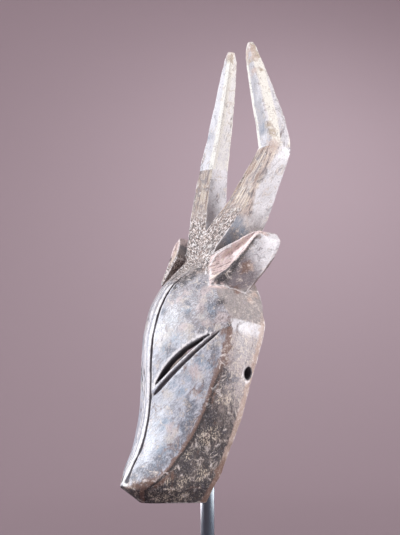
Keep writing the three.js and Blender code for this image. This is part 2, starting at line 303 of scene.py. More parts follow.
def neighbour_mean(values, pairs, count):
    """The mean of each point's neighbours, for values with one or more columns."""
    columns = values if values.ndim > 1 else values[:, None]
    ends = np.concatenate([pairs[:, 0], pairs[:, 1]])
    others = np.concatenate([pairs[:, 1], pairs[:, 0]])
    total = np.stack([np.bincount(ends, columns[others, i], count) for i in range(columns.shape[1])], 1)
    mean = total / np.maximum(np.bincount(ends, minlength=count), 1)[:, None]
    return mean if values.ndim > 1 else mean[:, 0]


def step_up(value, low, high):
    """From 0 at low to 1 at high, without a corner at either end."""
    t = np.clip((value - low) / (high - low), 0, 1)
    return t * t * (3 - 2 * t)


def step_down(value, low, high):
    """From 1 at low to 0 at high."""
    return 1 - step_up(value, low, high)


def band(value, low, high, soft):
    """1 between low and high, with edges that are soft over this much on either side."""
    return step_up(value, low - soft, low + soft) * step_down(value, high - soft, high + soft)


source = merged_copy("mask")
print("facets:", len(source.faces))

# %% [markdown]
# ## Finding the parts of the carving
#
# Wear and colour follow the form: the face is polished, the sides are smoked, the edges are rubbed
# bare. So the carving is cut through, level by level, as one would saw a loaf. On each cut, the edge
# between face and side is the corner nearest to where the design has it, and the rim is the point
# that reaches furthest back. Each horn's cut gives its front and its two sides.

# %% Measure the carving level by level
LEVEL_STEP = 3 * MM
SHELL_LEVELS = np.arange(0.111, 0.287, LEVEL_STEP)
HORN_LEVELS = np.arange(0.384, 0.536, LEVEL_STEP)
# Height, x and y of the edge between face and side, in mm. The cut's own corner lies close by.
SIDE_EDGE = np.array([
    (110, 15, -82), (117, 24.5, -77), (127.5, 31, -66.7), (144, 36, -54.5), (159, 41.5, -46),
    (182, 48.5, -37.5), (205, 55.5, -32.5), (226, 61.5, -26.5), (246, 65, -21.3), (264, 64.5, -18.8),
    (279, 56.5, -23.5), (297, 42, -25), (313, 31, -17), (342, 18, 4),
])
EDGE_REACH = 1.5 * MM
CROWN_EDGE = (0.313, 0.031, -0.017)
TOP_EDGE = (0.342, 0.018, 0.004)
ACROSS = np.array((0.57, 0.82))


def cut_at(height):
    """The points of a level cut through the carving."""
    bm = source.copy()
    whole = bm.verts[:] + bm.edges[:] + bm.faces[:]
    cut = bmesh.ops.bisect_plane(bm, geom=whole, dist=1e-7, plane_co=(0, 0, height), plane_no=(0, 0, 1))
    points = np.array([v.co[:] for v in cut["geom_cut"] if isinstance(v, bmesh.types.BMVert)])
    bm.free()
    return points


def shell_line():
    """Height, x and y of the side edge, and y of the rim, at each level of the face."""
    rows = []
    for z in SHELL_LEVELS:
        points = cut_at(z)
        side = np.stack([np.abs(points[:, 0]), points[:, 1]], 1)
        expected = np.array([np.interp(z / MM, SIDE_EDGE[:, 0], SIDE_EDGE[:, i]) for i in (1, 2)]) * MM
        corner = side[np.argmin(np.hypot(*(side - expected).T))]
        if np.hypot(*(corner - expected)) > EDGE_REACH:
            corner = expected
        rows.append((z, corner[0], corner[1], points[:, 1].max()))
    rows += [(*end, rows[-1][3]) for end in (CROWN_EDGE, TOP_EDGE)]
    return np.array(rows)


def horn_lines(side):
    """Height, least and greatest x, and least y, at each level of one horn."""
    rows = []
    for z in HORN_LEVELS:
        points = cut_at(z)
        points = points[points[:, 0] * side > 0]
        rows.append((z, points[:, 0].min(), points[:, 0].max(), points[:, 1].min()))
    return np.array(rows)


shell = shell_line()
horns = {1: horn_lines(1), -1: horn_lines(-1)}
print("side edge at the eyes:", shell[len(shell) // 2].round(4))

# %% Find the crisp edges
SLIT_ANGLE = math.radians(-150)
NOSE_BAND = 7 * MM
NOSE_TOP = 0.316
CRISP_TO = 0.255


def side_edge_points():
    """The edge between face and side, on both halves, as far up as it is crisp."""
    crisp = shell[shell[:, 0] < CRISP_TO]
    fine = np.arange(crisp[0, 0], crisp[-1, 0], EDGE_STEP)
    x, y = (np.interp(fine, crisp[:, 0], crisp[:, i]) for i in (1, 2))
    return [Vector((side * a, b, c)) for side in (1, -1) for a, b, c in zip(x, y, fine)]


def is_nose_groove(angle, middle):
    """An edge turned inwards beside the nose. The eye slit's edges are sharper or lie further out."""
    turned_in = SLIT_ANGLE < angle < -CRISP_ANGLE
    return turned_in and abs(middle.x) < NOSE_BAND and middle.z < NOSE_TOP and middle.y < 0


side_points = side_edge_points()
print("points on the edge between face and side:", len(side_points))
crisp_tree = edge_tree(source, lambda angle, middle: abs(angle) > CRISP_ANGLE, side_points)
ridge_tree = edge_tree(source, lambda angle, middle: angle > CRISP_ANGLE)
valley_tree = edge_tree(source, lambda angle, middle: angle < -CRISP_ANGLE)
nose_tree = edge_tree(source, is_nose_groove)

# %% Lay the fine net
rough_mesh = bpy.data.meshes.new("mask_facets")
source.to_mesh(rough_mesh)
source.free()
mask = add_object("mask_carving", rough_mesh)
mask.data = modified(mask, "net", kind="REMESH", mode="VOXEL", voxel_size=VOXEL)
print("net:", len(mask.data.vertices), "points")

# %% Smooth between the crisp edges
SMOOTH_ROUNDS = 90
SMOOTH_FROM = (0.8 * MM, 4.0 * MM)
EVEN_OUT = 0.55
PUSH_BACK = -0.53


def smooth(points, pairs, weight, rounds):
    """Evens out points, and pushes them back a little each round so the form keeps its size."""
    for i in range(rounds):
        push = EVEN_OUT if i % 2 == 0 else PUSH_BACK
        points = points + (push * weight)[:, None] * (neighbour_mean(points, pairs, len(points)) - points)
    return points


pairs = edge_pairs(mask.data)
points = positions(mask.data)
to_edge = distance_to(crisp_tree, points)
points = smooth(points, pairs, step_up(to_edge, *SMOOTH_FROM), SMOOTH_ROUNDS)
points = smooth(points, pairs, np.ones(len(points)), 2)
mask.data.vertices.foreach_set("co", points.ravel())
mask.data.update()
print("smoothed hard:", int((to_edge > SMOOTH_FROM[1]).sum()), "points")

# %% Name the places on the form
RIM_WIDTH = 1.2 * MM
# The hollow's middle, as a share of the way from the side's edge back to the rim
HOLLOW_MIDDLE = 0.45
# Heights in metres. A pair of them says where a zone starts or ends, softly.
HOLLOW_FROM = (0.117, 0.121)
HOLLOW_TO = (0.307, 0.310)
CROWN_FROM = (0.298, 0.316)
PITS_END = (0.352, 0.385)
EARS_FROM = 0.2915
HORNS_FROM = 0.352
KINK = {1: 0.4265, -1: 0.4200}


class Places:
    """Where each point lies on the form, in metres, and zones from 0 to 1."""

    def __init__(self, points, normal):
        self.p = points
        self.n = normal
        self.x, self.y, self.z = points.T
        self.out_x = np.abs(self.x)
        self.find_hollow()
        self.find_horns()
        self.find_zones()

    def find_hollow(self):
        """How far each point is across from the side's edge and in from the rim, and the hollow."""
        edge_x, edge_y, rim_y = (np.interp(self.z, shell[:, 0], shell[:, i]) for i in (1, 2, 3))
        self.across = np.stack([self.out_x - edge_x, self.y - edge_y], 1) @ ACROSS
        self.from_rim = rim_y - self.y
        centre_y = edge_y + HOLLOW_MIDDLE * (rim_y - edge_y)
        facing = self.n[:, 0] * self.x + self.n[:, 1] * (self.y - centre_y)
        shell_zone = step_up(self.z, *HOLLOW_FROM) * step_down(self.z, *HOLLOW_TO)
        self.inside = shell_zone * (facing < 0) * (self.from_rim > RIM_WIDTH)
        self.outside = 1 - self.inside

    def find_horns(self):
        """The horns, the part above their bends, and the strip along the corner of that part."""
        self.horn = step_up(self.z, HORNS_FROM - 0.004, HORNS_FROM + 0.004)
        self.horn *= self.out_x < np.interp(self.z, (0.35, 0.37), (0.043, 0.2))
        self.upper_horn = np.zeros(len(self.z))
        self.corner = np.zeros(len(self.z))
        self.behind_front = np.ones(len(self.z))
        for side, rows in horns.items():
            here = self.x * side > 0
            least, most, front_y = (np.interp(self.z, rows[:, 0], rows[:, i]) for i in (1, 2, 3))
            step_back = self.y - front_y
            outer, inner = (most, least) if side > 0 else (least, most)
            strip = band(step_back - np.abs(outer - self.x), 0, 11.5 * MM, 1.2 * MM)
            strip = np.maximum(strip, band(step_back - np.abs(inner - self.x), -4 * MM, 6 * MM, 1.2 * MM))
            self.upper_horn[here] = step_up(self.z, KINK[side], KINK[side] + 1.5 * MM)[here]
            self.corner[here] = strip[here]
            self.behind_front[here] = step_back[here]

    def find_zones(self):
        """The ears, the crown, the face in front of the side's edge and the side wall behind it."""
        self.ear = self.out_x > np.interp(self.z, (0.29, 0.352), (0.0385, 0.0475))
        self.ear = (self.z > EARS_FROM) * self.ear * (1 - self.horn) * self.outside
        self.front = step_up(-self.n[:, 1], 0.5, 0.8)
        self.crown = step_up(self.z, *CROWN_FROM) * (1 - self.ear)
        behind_edge = step_up(self.across, -0.5 * MM, 1 * MM)
        self.face = (1 - behind_edge) * self.outside * (1 - self.crown)
        self.side = behind_edge * self.outside * (1 - self.crown) * (1 - self.ear)


place = Places(points, normals(mask.data))
print("points inside:", int(place.inside.sum()), "on the ears:", int(place.ear.sum()))

# %% [markdown]
# ## The eyes
#
# A slit this narrow closes at its tips when the net is laid over it, so its line is kept as a curve
# as well: an arc in the plane of the face, given across and up from a point on the cheek. The line
# under the eye is another such arc. Both are cut deeper and coloured by how far a point is from them;
# the slit's walls get painted shade, also where the net has closed them.

# %% Measure from the lines of the eye
FACE_TURN = math.radians(35)
CHEEK = np.array((30, -50, 230)) * MM
EYE_ARC = np.array([(-25.6, -27.8), (-4.2, 1.2), (27.6, 19.0)]) * MM
EYE_THICKNESS = 6.2 * MM
EYE_TIPS = ((0, 0.05, 0.12, 0.9, 1), (-1.6 * MM, 0.7 * MM, 1.5 * MM, 1.9 * MM, 0.8 * MM))
EYE_FADE = ((0, 0.07), (1.8 * MM, 0))
LID_ARC = np.array([(-27.7, -37.3), (3.5, -5), (38, 23)]) * MM
LID_WIDTH = ((0, 0.05, 0.14, 0.9, 1), (-0.6 * MM, 0.9 * MM, 1.9 * MM, 1.0 * MM, 0.3 * MM))
ARC_STEPS = 80


class Line:
    """How far each point of the face is from one arc, how far along it, and on which side."""

    def __init__(self, place, arc):
        t = np.linspace(0, 1, ARC_STEPS)[:, None]
        line = (1 - t) ** 2 * arc[0] + 2 * t * (1 - t) * arc[1] + t**2 * arc[2]
        across = (place.out_x - CHEEK[0]) * math.cos(FACE_TURN) + (place.y - CHEEK[1]) * math.sin(FACE_TURN)
        where = np.stack([across, place.z - CHEEK[2]], 1)
        self.away = np.full(len(where), 1.0)
        self.t = np.zeros(len(where))
        self.above = np.zeros(len(where))
        for i, point in enumerate(line):
            away = np.hypot(*(where - point).T)
            nearer = away < self.away
            along = line[min(i + 1, ARC_STEPS - 1)] - line[max(i - 1, 0)]
            left_of = along[0] * (where[:, 1] - point[1]) - along[1] * (where[:, 0] - point[0])
            self.away[nearer] = away[nearer]
            self.t[nearer] = i / (ARC_STEPS - 1)
            self.above[nearer] = left_of[nearer] > 0


def eye_lines(place):
    """Distances from the edge of the slit and from the edge of the line under it, with their sides."""
    eye = Line(place, EYE_ARC)
    opening = 4 * eye.t * (1 - eye.t) * EYE_THICKNESS - np.interp(eye.t, *EYE_FADE)
    eye_gap = eye.away - np.maximum(opening, np.interp(eye.t, *EYE_TIPS)) / 2
    lid = Line(place, LID_ARC)
    lid_gap = lid.away - np.interp(lid.t, *LID_WIDTH)
    tip = step_down(opening, 1.5 * MM, 2.6 * MM)
    return eye_gap, lid_gap, tip, eye.above


# %% [markdown]
# ## Tool marks and wear
#
# What the hand and the years left is moved into the net, each point along its own normal. The whole
# surface was cut by eye, so it swells and dips a little, and its side wall leans in under the ears.
# The lines of the eye and the nose were deepened with the knife's tip. The hollow was cleared with a
# gouge, which leaves rows of shallow scoops. The crown and the horns' roots are weathered into pits,
# the arrises have lost small chips, and the outer corner of each horn's bend is worn round.

# %% Noise and gouge cuts


def field(points, size, stretch=(1, 1, 1), seed=0.0):
    """Smooth noise from -1 to 1 that changes over about this size, in metres."""
    scaled = points / (size * np.array(stretch)) + seed
    return np.array([noise.noise(p) for p in scaled])


def scoops(points, size):
    """0 in the middle of each gouge cut and 1 on the ridges between them."""
    scaled = points / (size * np.array((1, 1, 1.7)))
    return np.array([noise.voronoi(p)[0][0] for p in scaled]) ** 2


# %% The shoulder of the side wall
SHOULDER_HEIGHT = 260.5 * MM
SHOULDER_FALL = 0.186
# How far above the line and how far out there, in mm
SHOULDER_LEAN = ((-6, 0, 9, 26), (0, 0.35, -1.1, 0))


def shoulder_cut(place):
    """The side wall leans in above a line that runs back from the face's edge, under the ears."""
    above = place.z - (SHOULDER_HEIGHT - SHOULDER_FALL * place.y)
    lean = np.interp(above / MM, *SHOULDER_LEAN)
    return lean * MM * place.side * step_up(place.across, 1 * MM, 4 * MM)


# %% The lines of the eye and the nose
SLIT_TIP_DEPTH = 2.4 * MM
LID_DEPTH = 0.9 * MM
NOSE_DEPTH = 0.6 * MM
NOSE_HALF_WIDTH = 2.0 * MM


def deepen_lines(place):
    """The tips of the eye slit, the line under the eye and the grooves of the nose, cut afresh."""
    eye_gap, lid_gap, tip, _ = eye_lines(place)
    nose_gap = distance_to(nose_tree, place.p) - NOSE_HALF_WIDTH
    skin = step_up(-place.n[:, 1], 0.45, 0.7)
    depth = -SLIT_TIP_DEPTH * tip * skin * step_down(eye_gap, -0.5 * MM, 0.3 * MM)
    depth -= LID_DEPTH * step_down(lid_gap, -0.6 * MM, 0.4 * MM)
    depth -= NOSE_DEPTH * step_down(nose_gap, -0.6 * MM, 0.4 * MM)
    return depth * place.outside * (place.y < -10 * MM) * (1 - place.crown)


# %% All marks together
SWELL = 0.4 * MM
RIPPLE = 0.13 * MM
PIT_DEPTH = 1.2 * MM
CHIP_DEPTH = 0.8 * MM
GOUGE_DEPTH = 1.5 * MM
GOUGE_WIDTH = 11 * MM


def cut_marks(place, to_edge):
    """How far each point is moved out, or in where this is below 0."""
    depth = SWELL * field(place.p, 17 * MM) + deepen_lines(place)
    depth += RIPPLE * field(place.p, 5 * MM, (1, 1, 2.2), 3.1)
    depth += shoulder_cut(place)
    pits = np.clip(field(place.p, 1.9 * MM, (1, 1, 1.8), 7.7), 0, 1)
    pitted = place.crown * place.front * step_down(place.z, *PITS_END)
    depth -= PIT_DEPTH * pits * pitted
    near = step_down(to_edge, 0.5 * MM, 2.6 * MM)
    chips = np.clip(field(place.p, 5 * MM, (1, 1, 1.6), 5.2) - 0.12, 0, 1)
    depth -= CHIP_DEPTH * near * chips
    inner = place.inside > 0.5
    scooped = scoops(place.p[inner], GOUGE_WIDTH)
    depth[inner] = GOUGE_DEPTH * (scooped - 0.25) + 0.2 * MM * field(place.p[inner], 4 * MM)
    return depth


# %% The worn bends of the horns
KINK_WORN = 2.4 * MM
KINK_SOFT = 6 * MM


def kink_wear(place):
    """How far the outer corner of each horn's bend is worn back."""
    worn = np.zeros(len(place.z))
    for side, rows in horns.items():
        outer = np.abs(rows[:, 2] if side > 0 else rows[:, 1])
        corner_height = rows[np.argmax(outer), 0]
        near_corner = np.exp(-(((place.z - corner_height) / KINK_SOFT) ** 2))
        from_outer = np.interp(place.z, rows[:, 0], outer) - place.out_x
        worn += (place.x * side > 0) * near_corner * step_down(from_outer, 2 * MM, 9 * MM)
    return KINK_WORN * worn * place.horn


# %% Move the net
moved = cut_marks(place, to_edge)
points = points + place.n * moved[:, None]
points[:, 0] -= np.sign(points[:, 0]) * kink_wear(place)
mask.data.vertices.foreach_set("co", points.ravel())
mask.data.update()
print("marks move the points by", round(moved.min(), 5), "to", round(moved.max(), 5))

# %% Thin the net where it is flat
TRIANGLES = 190_000
triangles_now = sum(len(p.vertices) - 2 for p in mask.data.polygons)
kept_share = TRIANGLES / triangles_now
mask.data = modified(mask, "thin", kind="DECIMATE", ratio=kept_share, use_collapse_triangulate=True)
mask.data.name = "mask_carving"
mask.data.shade_smooth()
print("carving:", len(mask.data.polygons), "triangles, from", triangles_now)

# %% [markdown]
# ## The coats of colour
#
# Years of oil and smoke have made the wood nearly black, and years of handling have rubbed it: grey
# and shining on the face, rust-brown along the edges, pale on the horns. A few coats also hold painted
# shade and painted highlights. Each kind of wear gets a number for every point, from 0 for none to 1
# for full. The material reads those numbers as attributes and breaks up their borders with noise.
# Some patches stand out enough to be placed one by one.

# %% Patches that stand out
# Each patch is x, y and z of its middle and its radius, in mm. It is given on the half with the left
# horn and comes back on the other half, a little higher. The far pits are kept to that other half.
PATCHES = {
    # The two blue patches at the near horn's root, near z 338 to 346, are painted shade.
    "blue": [
        (32, -44, 278, 5), (34, -46, 268, 5), (51, -30, 276, 7), (53, -31, 267, 5), (12, -46, 290, 5),
        (11, -57, 271, 5), (35, -31, 295, 6), (50, -37, 253, 7), (57, -32, 235, 5), (56, -33, 225, 5),
        (41, -47, 189, 5), (40, -48, 180, 5), (38, -51, 169, 5), (23, -70, 140, 6), (22, -75, 131, 6),
        (14, -82, 128, 6), (10, -86, 123, 5), (20, -78, 126, 6), (24, -77, 121, 4), (62, -19, 209, 7),
        (38, 6, 346, 10), (34, 2, 338, 9), (25, -57, 236, 6), (47, 31, 446, 7),
    ],
    # The small dark patch at 25, -11, 331 is painted shade in the notch at the ear's root.
    "dark": [
        (56, -23, 279, 5), (64, -21, 253, 4), (17, -38, 298, 5), (20, -31, 304, 5), (19, -22, 311, 6),
        (11, -43, 295, 4), (61, -25, 216, 5), (56, -29, 201, 6), (51, -32, 177, 8), (50, -32, 170, 7),
        (54, -20, 164, 6), (46, -21, 143, 7), (45, -36, 150, 7), (38, -48, 132, 8), (27, -66, 115, 8),
        (32, -27, 109, 9), (13, -79, 108, 6), (50, -34, 186, 5), (36, -30, 116, 6), (5, -42, 298, 6),
        (9, -37, 301, 6), (12, -33, 304, 7), (16, -27, 308, 6), (61, -23, 209, 5), (64, -20, 257, 3),
        (25, -11, 331, 3), (47, -19, 144, 6), (25, -67, 111, 6),
    ],
    "cream": [
        (62, -18, 199, 4), (59, -18, 191, 6), (47, -34, 157, 6), (51, -27, 161, 6), (39, -48, 143, 4),
        (40, -32, 127, 6), (33, -49, 117, 6), (24, -46, 104, 6), (19, -59, 104, 6), (38, -34, 120, 4),
        (8, -86, 107, 4), (28, -58, 112, 5), (16, -74, 106, 4), (32, -62, 120, 5), (57, -25, 191, 4),
        (11, -87, 113, 4), (14, -80, 109, 4), (15, -62, 102, 5), (20, -81, 114, 3),
    ],
    "pink": [
        (42, -38, 274, 4), (46, -43, 216, 7), (47, -41, 193, 5), (28, -60, 164, 7), (33, -49, 257, 5),
        (49, -36, 260, 4), (17, -51, 279, 5), (41, -30, 289, 5), (22, -50, 286, 5), (43, -36, 282, 5),
        (59, -25, 264, 5), (22, -47, 281, 5), (26, -40, 288, 4),
    ],
    "rust": [
        (64, -22, 238, 5), (62, -24, 226, 5), (59, -28, 216, 5), (31, -66, 124, 6), (24, -77, 118, 6),
        (60, -25, 253, 4), (52, -4, 290, 4), (13, -86, 115, 5), (18, -82, 114, 5), (29, -71, 121, 5),
        (60, 1, 311, 6), (42, -19, 128, 4), (49, -39, 195, 4), (45, 20, 392, 4), (50, 24, 402, 4),
        (40, 13, 380, 4),
    ],
    "tan": [
        (7, -90, 113, 4), (18, 36, 528, 8), (58, 34, 428, 6), (25, 37, 522, 5), (30, 34, 505, 4),
        (62, 6, 312, 5), (55, 17, 286, 5), (58, 7, 281, 3),
    ],
    "sky": [
        (9, -57, 273, 4), (34, -45, 270, 5), (28, -55, 244, 5), (20, -59, 237, 5), (49, -40, 226, 5),
        (54, -35, 221, 4), (42, -47, 209, 4), (35, -52, 198, 6), (28, -57, 204, 5), (23, -62, 170, 7),
        (25, -66, 147, 6), (26, -69, 137, 5), (25, -73, 129, 5), (33, -58, 148, 5), (42, -46, 186, 5),
        (40, -48, 174, 5), (37, -52, 166, 4), (52, -31, 271, 5), (47, -41, 197, 3),
    ],
    "warm": [
        (17, -59, 251, 7), (14, -62, 241, 5), (47, -42, 212, 5), (32, -57, 163, 4), (29, -61, 156, 5),
        (24, -59, 196, 6), (37, -47, 255, 5), (41, -45, 247, 4), (44, -37, 265, 4), (56, -30, 256, 5),
        (59, -28, 241, 4),
    ],
    "ochre": [
        (21, 39, 533, 6), (26, 42, 524, 4), (24, 34, 516, 4), (14, 37, 522, 6), (59, 34, 440, 5),
        (56, 31, 448, 4), (33, 41, 507, 3),
    ],
    # The patches at the horn's root, below z 356, are painted shade; the one at 446 is the horn's own blue.
    "horn_blue": [
        (40, 4, 355, 8), (39, 10, 348, 8), (34, 2, 338, 8), (36, -4, 346, 7), (47, 31, 446, 5),
    ],
    "pits": [
        (12, -33, 305, 7), (18, -22, 312, 9), (3, -37, 303, 6), (24, -20, 312, 7), (8, -38, 301, 5),
    ],
    "far_pits": [
        (9, -20, 305, 9), (0, -26, 304, 9), (33, -20, 302, 9), (20, -28, 296, 9), (31, -21, 313, 8),
        (10, -30, 299, 8), (36, -25, 300, 6), (27, -16, 316, 6), (25, -15, 319, 5), (30, -17, 311, 6),
    ],
    "light": [
        (42, -50, 196, 15), (0, -68, 226, 16), (33, -54, 240, 9), (52, -33, 186, 4), (16, -64, 188, 9),
        (37, -50, 222, 6), (14, -62, 245, 6), (28, -55, 235, 4),
    ],
}
PLAIN_PATCHES = ("pink", "light", "sky", "warm", "ochre", "horn_blue", "cream")
FAR_HALF_LIFT = 7


def patches(place, kind):
    """How near each point is to a patch of this kind, from 0 to 1 in its middle, on both halves."""
    total = np.zeros(len(place.z))
    for x, y, z, radius in PATCHES[kind]:
        for side, lift in ((1, 0), (-1, FAR_HALF_LIFT)):
            away = place.p / MM - np.array((side * x, y, z + lift))
            total = np.maximum(total, np.exp(-((away**2).sum(1) / radius**2)))
    return total


# %% [markdown]
# ## The ears' openings
#
# Each ear is a leaf with a scoop cut into its front. The scoop's two lips bend so little that three
# points give each of them, and rows of points between the lips stand for the opening itself. How far
# the wood is from them says where painted shade, raw wood and rubbed edges lie.

# %% Measure the ears
# The two lips of the opening, from the head to the tip, in mm, on the half that has the left horn.
LOW_LIP = np.array([(42, -26, 296), (56, -9.5, 314), (68, 7.5, 342)])
HIGH_LIP = np.array([(27, -17, 324), (46, -2, 336), (65, 10.5, 346)])
RIGHT_EAR_LIFT = 7
# The way that the left ear runs, from the head to its tip
EAR_ALONG = np.array((0.362, 0.773, 0.524))
LIP_STEPS = 24
OPENING_ROWS = 9


def lip_points(lip):
    """Points along one lip, on both ears."""
    t = np.linspace(0, 2, LIP_STEPS)
    left = np.stack([np.interp(t, (0, 1, 2), lip[:, i]) for i in range(3)], 1)
    right = left * (-1, 1, 1) + (0, 0, RIGHT_EAR_LIFT)
    return np.concatenate([left, right]) * MM


def point_tree(points):
    tree = KDTree(len(points))
    for i, point in enumerate(points):
        tree.insert(Vector(point), i)
    tree.balance()
    return tree


def opening_points(shares):
    """Points all over the opening, from one lip to the other."""
    low, high = lip_points(LOW_LIP), lip_points(HIGH_LIP)
    return np.concatenate([low + (high - low) * share for share in shares])


print("points over the ears' openings:", len(opening_points(np.linspace(0, 1, OPENING_ROWS))))

# %% [markdown]
# ## The grain
#
# Streaks and scratches run along the part that they are in, but noise that is stretched upright would
# cut across a leaning horn or ear. So each point gets a second place, measured along and across its
# own part, and the material stretches its noise there.

# %% Let the grain follow the form
HORN_GRAIN_FROM = (0.300, 0.345)
SLOPE_ROWS = 8
# The two halves read the noise this far apart, in metres, so that they differ.
FAR_HALF_SHIFT = 0.37
# The raw strip in the left ear's opening: the way it runs and the way it faces
STRIP_ALONG = np.array((0.593, 0.548, 0.590))
STRIP_FACING = np.array((0.337, -0.834, 0.438))


def axes(facing, along):
    """Three directions at right angles, with along the last."""
    return np.array([facing, np.cross(along, facing), along])


EAR_AXES = axes(np.array((0.906, -0.423, 0.0)), EAR_ALONG)
STRIP_AXES = axes(STRIP_FACING, STRIP_ALONG)


def extended(z, rows, values):
    """values over the heights of rows, going on in a straight line below the first one."""
    slope = (values[SLOPE_ROWS] - values[0]) / (rows[SLOPE_ROWS, 0] - rows[0, 0])
    return np.interp(z, rows[:, 0], values) + slope * np.minimum(z - rows[0, 0], 0)


def grain_places(place, on_strip):
    """Each point's place along and across the piece that it belongs to, so that grain can follow it."""
    upright = np.stack([place.out_x, place.y, place.z], 1)
    horn = upright.copy()
    for side, rows in horns.items():
        here = place.x * side > 0
        middle = np.abs(rows[:, 1] + rows[:, 2]) / 2
        horn[here, 0] -= extended(place.z, rows, middle)[here]
        horn[here, 1] -= extended(place.z, rows, rows[:, 3])[here]
    on_horn = step_up(place.z, *HORN_GRAIN_FROM) * (1 - place.ear)
    places = upright + on_horn[:, None] * (horn - upright)
    on_ear = place.ear > 0.5
    places[on_ear] = upright[on_ear] @ EAR_AXES.T
    places[on_strip] = upright[on_strip] @ STRIP_AXES.T
    places[:, 2] += FAR_HALF_SHIFT * (place.x < 0)
    return places


# %% [markdown]
# ## How far each point is from what wears it
#
# Hands rub an edge first, and smoke settles where they don't reach. The cuts are painted dark, and the
# ears are given painted shade under their lower lips. So each point is measured from the arrises, the
# grooves, the lines of the eye and the lips of the ears, and a coat is a product of a few such measures.
# A step says where it starts and where it is full, and a band says where it starts and ends and how
# soft those ends are.

# %% Measure every point
WOBBLE = 0.5 * MM
points = positions(mask.data)
place = Places(points, normals(mask.data))
to_ridge = distance_to(ridge_tree, points)
to_valley = distance_to(valley_tree, points)
to_nose = distance_to(nose_tree, points) + WOBBLE * field(points, 4 * MM, seed=2.3)
to_low_lip = distance_to(point_tree(lip_points(LOW_LIP)), points)
to_opening = distance_to(point_tree(opening_points(np.linspace(0, 1, OPENING_ROWS))), points)
to_lips = distance_to(point_tree(opening_points((0, 1))), points)
eye_gap, lid_gap, _, above_eye = eye_lines(place)
near_half = place.x > 0
far_half = place.x < 0
print("furthest from an arris:", round(to_ridge.max(), 4))

# %% Ears: painted shade under the lower lip, rubbed at the tip, raw in the opening
SCOOP_REACH = 14 * MM
ear_height = place.z - RIGHT_EAR_LIFT * MM * far_half
along_ear = (np.stack([place.out_x, place.y, ear_height], 1) / MM - LOW_LIP[0]) @ EAR_ALONG
ear_tip = step_up(along_ear, 35, 54)
outer_ear = place.ear * step_up(np.abs(place.n[:, 0]), 0.78, 0.86) * step_up(to_opening, 0.4 * MM, 1.2 * MM)
in_scoop = (to_opening < SCOOP_REACH) * (to_lips > to_opening + 0.8 * MM)
beside_opening = (place.ear - outer_ear) * (to_opening < SCOOP_REACH)
inner_ear = np.maximum.reduce([beside_opening, step_down(to_opening, 0.6 * MM, 1.6 * MM), in_scoop])
inner_ear = inner_ear * (place.out_x > np.interp(place.z, (0.296, 0.312, 0.330), (0.041, 0.0325, 0.028)))

far_pits = patches(place, "far_pits") * step_down(place.x, -2 * MM, 6 * MM)
far_pits = np.maximum(far_pits, far_half * place.ear * step_down(place.z, 0.318, 0.328))
# Painted shade: the outer ear is darkened under its lower lip, with a dark line along the lip, in the dark
# and smoke coats.
lip_shade = outer_ear * step_down(to_low_lip / MM, 0.5, np.interp(along_ear, (0, 40), (15, 2)))
lip_line = step_down(to_low_lip, 1.6 * MM, 2.8 * MM) * band(along_ear, 3, 40, 3)
lip_shade = np.maximum(lip_shade, lip_line) * (1 - far_pits)
low_edge = inner_ear * band(to_low_lip, 2.8 * MM, 5.4 * MM, 0.8 * MM) * band(along_ear, 4, 48, 3)
low_edge = low_edge * (1 - far_pits)
under_lip_shade = outer_ear * step_down(to_low_lip / MM, 0.3, np.interp(along_ear, (0, 42), (27, 6)))
under_lip_shade = under_lip_shade * (1 - far_pits)
print("points in the ears' openings:", int((inner_ear > 0.5).sum()))

# %% Side wall: smoked low down and under the chin, rust-brown along both of its edges, a painted highlight under the shoulder and painted shade above it
below_shoulder = SHOULDER_HEIGHT - SHOULDER_FALL * place.y - place.z
# Above the shoulder line the wall gets the dull coat: a duller patina, and painted shade where the ears
# shade it.
shoulder = step_up(-below_shoulder, -0.4 * MM, 0.4 * MM)
# Painted highlight: just under the shoulder, the upright wall is painted pale where it shines.
side_highlight_band = place.side * (1 - shoulder) * step_down(below_shoulder, 7 * MM, 16 * MM)
low_down = step_down(place.z + 0.7 * (place.across - 10 * MM), 0.16, 0.228)
chin = step_down(place.z, 0.109, 0.116)
under_muzzle = step_down(place.z, 0.120, 0.124) * step_down(place.n[:, 2], 0.05, 0.18)
# The smoke coat also holds painted shade under the ears' lower lips.
smoke_and_shade = np.maximum.reduce([0.85 * place.side * low_down, chin, under_muzzle]) + 1.1 * under_lip_shade

crease_width = np.interp(place.z, (0.170, 0.188, 0.204, 0.222), (3.0, 5.2, 5.2, 3.0)) * MM
crease = band(place.across, -2.3 * MM, crease_width, 1.0 * MM) * step_down(place.z, 0.25, 0.268)
crease_line = band(place.across, 1.3 * MM, 4.6 * MM, 0.8 * MM) * step_down(place.z, 0.2, 0.24)
beside_crease = band(place.across, -11 * MM, -1.5 * MM, 3 * MM) * step_down(place.z, 0.235, 0.262)
beside_crease = beside_crease * step_down(place.z, 0.2, 0.23)
rim = band(place.from_rim, -1, 7 * MM, 2.5 * MM) * step_down(place.z, 0.25, 0.28)
print("smoked share:", round(smoke_and_shade.mean(), 3))

# %% Cuts: walls painted dark, as shade in the eye slit and tie hole, and pale lips, partly painted highlights
in_front = place.y < -8 * MM
face_skin = place.outside * in_front * (1 - place.crown)
# Painted shade: the eye slit's walls are painted near black, also where the net has closed the slit.
eye_wall = step_down(eye_gap, 0.3 * MM, 0.9 * MM) * in_front
lid_wall = 0.9 * step_down(lid_gap, -0.3 * MM, 0.8 * MM)
nose_wall = step_down(to_nose, 1.7 * MM, 2.7 * MM)
cut_wall = np.maximum(np.maximum(lid_wall, nose_wall) * face_skin, eye_wall)

